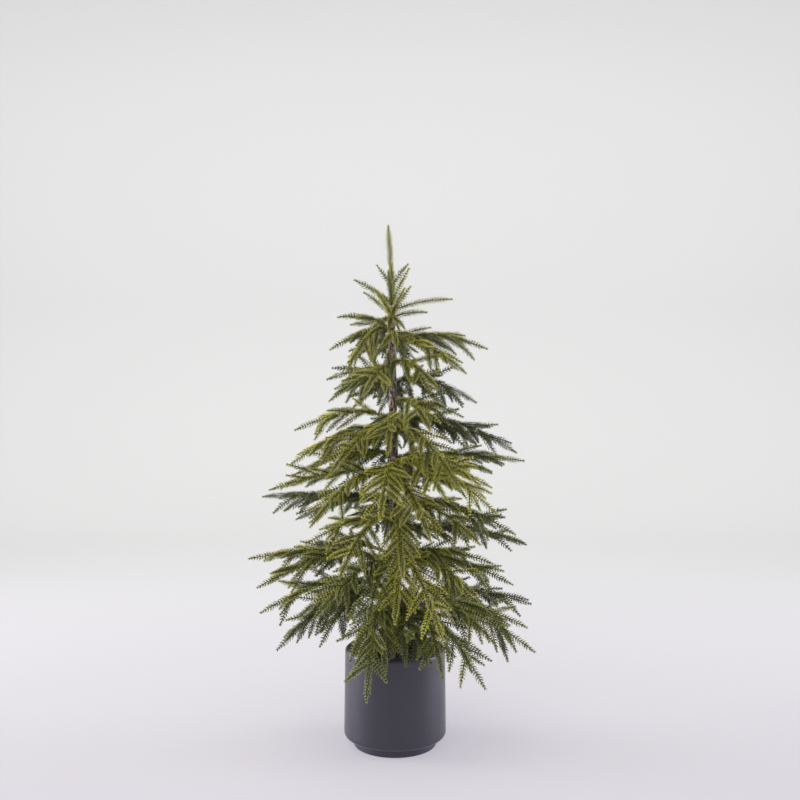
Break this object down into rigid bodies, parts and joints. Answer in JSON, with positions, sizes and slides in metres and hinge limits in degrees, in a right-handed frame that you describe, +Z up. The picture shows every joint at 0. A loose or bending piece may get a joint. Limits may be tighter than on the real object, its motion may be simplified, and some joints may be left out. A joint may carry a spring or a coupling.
{
  "type": "artificial potted cedar tree",
  "caption": "Artificial Japanese cedar with tiers of arching, drooping needle sprays on a slim wrapped trunk, set in a round charcoal pot that stands on a recessed foot.",
  "frame": {"origin": "centre of the pot's underside, on the ground", "axes": "+Z up along the trunk, -Y towards the front, +X to the right"},
  "size_m": [0.6634, 0.5248, 1.203],
  "materials": {
    "pot": "satin charcoal",
    "filling": "matt, dark",
    "bark": "matt, wrinkled wrap",
    "needles": "matt, moulded"
  },
  "bodies": {
    "root": {"base_back_bough": "bark", "base_back_foliage": "needles", "base_back_left_bough": "bark", "base_back_left_foliage": "needles", "base_back_right_bough": "bark", "base_back_right_foliage": "needles", "base_front_foliage": "needles", "base_front_left_bough": "bark", "base_front_left_foliage": "needles", "base_front_right_bough": "bark", "base_front_right_foliage": "needles", "base_left_bough": "bark", "base_left_foliage": "needles", "base_low_left_bough": "bark", "base_low_left_foliage": "needles", "base_right_bough": "bark", "base_right_foliage": "needles", "filling": "filling", "leader": "needles", "low_back_foliage": "needles", "low_back_right_foliage": "needles", "low_front_foliage": "needles", "low_front_left_foliage": "needles", "low_left_foliage": "needles", "low_right_foliage": "needles", "mid_back_foliage": "needles", "mid_back_left_foliage": "needles", "mid_front_foliage": "needles", "mid_front_left_foliage": "needles", "mid_front_right_foliage": "needles", "mid_left_foliage": "needles", "mid_right_foliage": "needles", "pot": "pot", "skirt_back_bough": "bark", "skirt_back_foliage": "needles", "skirt_back_left_bough": "bark", "skirt_back_left_foliage": "needles", "skirt_front_left_foliage": "needles", "skirt_front_right_foliage": "needles", "skirt_left_bough": "bark", "skirt_left_foliage": "needles", "skirt_right_foliage": "needles", "top_back_foliage": "needles", "top_front_foliage": "needles", "top_left_foliage": "needles", "top_right_foliage": "needles", "trunk": "bark", "upper_back_foliage": "needles", "upper_front_left_foliage": "needles", "upper_front_right_foliage": "needles", "upper_left_foliage": "needles", "upper_low_right_foliage": "needles", "upper_right_foliage": "needles", "waist_back_foliage": "needles", "waist_back_left_foliage": "needles", "waist_front_foliage": "needles", "waist_front_right_foliage": "needles", "waist_left_foliage": "needles", "waist_low_front_foliage": "needles", "waist_right_foliage": "needles"}
  },
  "joints": []
}
